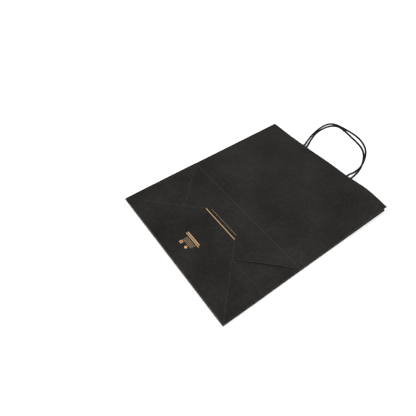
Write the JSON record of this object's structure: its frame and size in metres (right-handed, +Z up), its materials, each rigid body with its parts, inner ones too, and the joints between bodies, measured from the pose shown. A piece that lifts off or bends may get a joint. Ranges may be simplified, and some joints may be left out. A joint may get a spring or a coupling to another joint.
{
  "type": "paper carrier gift bag",
  "caption": "Flat-folded black kraft paper gift bag with folding side gussets, a square bottom folded up over the front, and twisted paper cord handles that bend at the mouth.",
  "frame": {"origin": "centre of the back panel's outer face, which lies on the table", "axes": "+X across the bag, +Y from the bottom crease towards the mouth, +Z up from the table, out of the front panel"},
  "size_m": [0.32, 0.4771, 0.0635],
  "materials": {
    "black_kraft": "matt black print on natural brown kraft paper, brown at cut edges",
    "brown_kraft": "unprinted natural brown kraft paper",
    "black_cord": "matt black twisted paper cord"
  },
  "bodies": {
    "back": {"back_panel": "black_kraft", "seam_flap": "brown_kraft", "back_patch_base": "brown_kraft", "back_patch_cover": "brown_kraft", "back_cord_end_left": "black_cord", "back_cord_end_right": "black_cord"},
    "gusset_left_back": {"gusset_left_back": "black_kraft"},
    "gusset_left_front": {"gusset_left_front": "black_kraft"},
    "front": {"front_panel": "black_kraft", "front_patch_base": "brown_kraft", "front_patch_cover": "brown_kraft", "front_cord_end_left": "black_cord", "front_cord_end_right": "black_cord"},
    "gusset_right_back": {"gusset_right_back": "black_kraft"},
    "gusset_right_front": {"gusset_right_front": "black_kraft"},
    "front_lower": {"front_lower_panel": "black_kraft"},
    "bottom": {"bottom_end_left": "black_kraft", "bottom_end_right": "black_kraft", "bottom_front_tuck_left": "black_kraft", "bottom_front_tuck_right": "black_kraft", "bottom_front_flap": "black_kraft", "bottom_back_tuck_left": "black_kraft", "bottom_back_tuck_right": "black_kraft", "bottom_back_flap": "black_kraft"},
    "front_handle": {"front_handle": "black_cord"},
    "back_handle": {"back_handle": "black_cord"}
  },
  "joints": [
    {"name": "open_bag", "type": "hinge", "parent": "back", "child": "gusset_right_back", "pos_m": [0.16, 0, 0.00085], "axis": [0, 1, 0], "range_deg": [0, 90]},
    {"name": "gusset_right_centre", "type": "hinge", "parent": "gusset_right_back", "child": "gusset_right_front", "pos_m": [0.075, 0, 0.00185], "axis": [0, 1, 0], "range_deg": [-180, 0]},
    {"name": "gusset_right_edge", "type": "hinge", "parent": "gusset_right_front", "child": "front", "pos_m": [0.16, 0, 0.00285], "axis": [0, 1, 0], "range_deg": [0, 90]},
    {"name": "gusset_left_edge", "type": "hinge", "parent": "back", "child": "gusset_left_back", "pos_m": [-0.16, 0, 0.00085], "axis": [0, -1, 0], "range_deg": [0, 90]},
    {"name": "gusset_left_centre", "type": "hinge", "parent": "gusset_left_back", "child": "gusset_left_front", "pos_m": [-0.075, 0, 0.00185], "axis": [0, -1, 0], "range_deg": [-180, 0]},
    {"name": "front_fold_up", "type": "hinge", "parent": "front", "child": "front_lower", "pos_m": [0, -0.115, 0.0039], "axis": [1, 0, 0], "range_deg": [0, 180]},
    {"name": "bottom_fold", "type": "hinge", "parent": "front_lower", "child": "bottom", "pos_m": [0, -0.03, 0.0045], "axis": [1, 0, 0], "range_deg": [-90, 0]},
    {"name": "front_handle_bend", "type": "hinge", "parent": "front", "child": "front_handle", "pos_m": [0, 0.2015, 0.0026], "axis": [1, 0, 0], "range_deg": [-90, 60]},
    {"name": "back_handle_bend", "type": "hinge", "parent": "back", "child": "back_handle", "pos_m": [0, 0.2015, 0.0011], "axis": [1, 0, 0], "range_deg": [-135, 15]}
  ],
  "couplings": [
    {"joint": "gusset_left_centre", "follows": "open_bag", "ratio": -2},
    {"joint": "gusset_left_edge", "follows": "open_bag", "ratio": 1},
    {"joint": "gusset_right_edge", "follows": "open_bag", "ratio": 1},
    {"joint": "gusset_right_centre", "follows": "open_bag", "ratio": -2},
    {"joint": "front_fold_up", "follows": "open_bag", "ratio": 2},
    {"joint": "bottom_fold", "follows": "open_bag", "ratio": -1}
  ]
}
